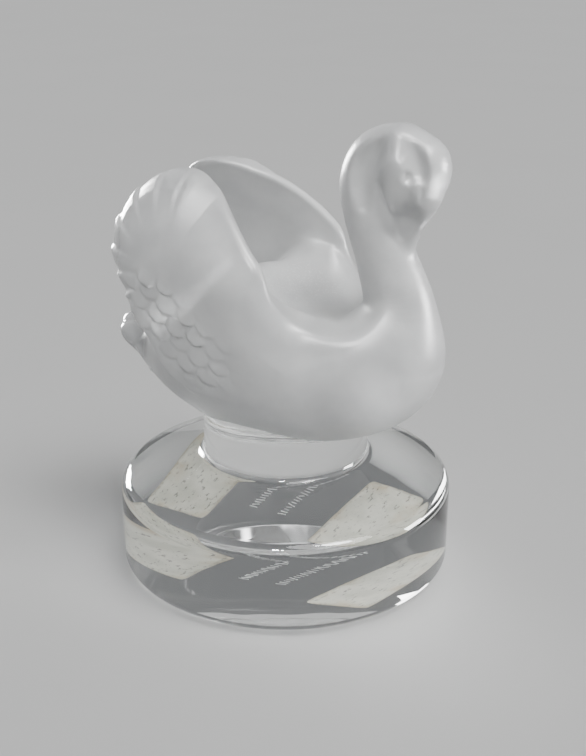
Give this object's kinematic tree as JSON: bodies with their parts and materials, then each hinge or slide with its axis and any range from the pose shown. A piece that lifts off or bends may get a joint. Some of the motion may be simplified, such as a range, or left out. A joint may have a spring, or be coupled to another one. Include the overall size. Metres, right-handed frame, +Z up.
{
  "type": "swan figurine",
  "caption": "Pressed crystal swan, satin frosted, with raised cupped wings, on a short clear stem and a thick clear round base.",
  "frame": {"origin": "on the ground under the middle of the figurine's length and breadth; the base's axis is 1.55 mm ahead of it", "axes": "+X the way the swan swims, +Y its left, +Z up"},
  "size_m": [0.0471, 0.044, 0.0595],
  "materials": {
    "crystal": "satin frosted on the swan, polished clear on the stem and base",
    "pad": "thin ivory adhesive pad, matt"
  },
  "bodies": {
    "root": {"crystal_swan": "crystal", "pad_rear": "pad", "pad_front": "pad"}
  },
  "joints": []
}
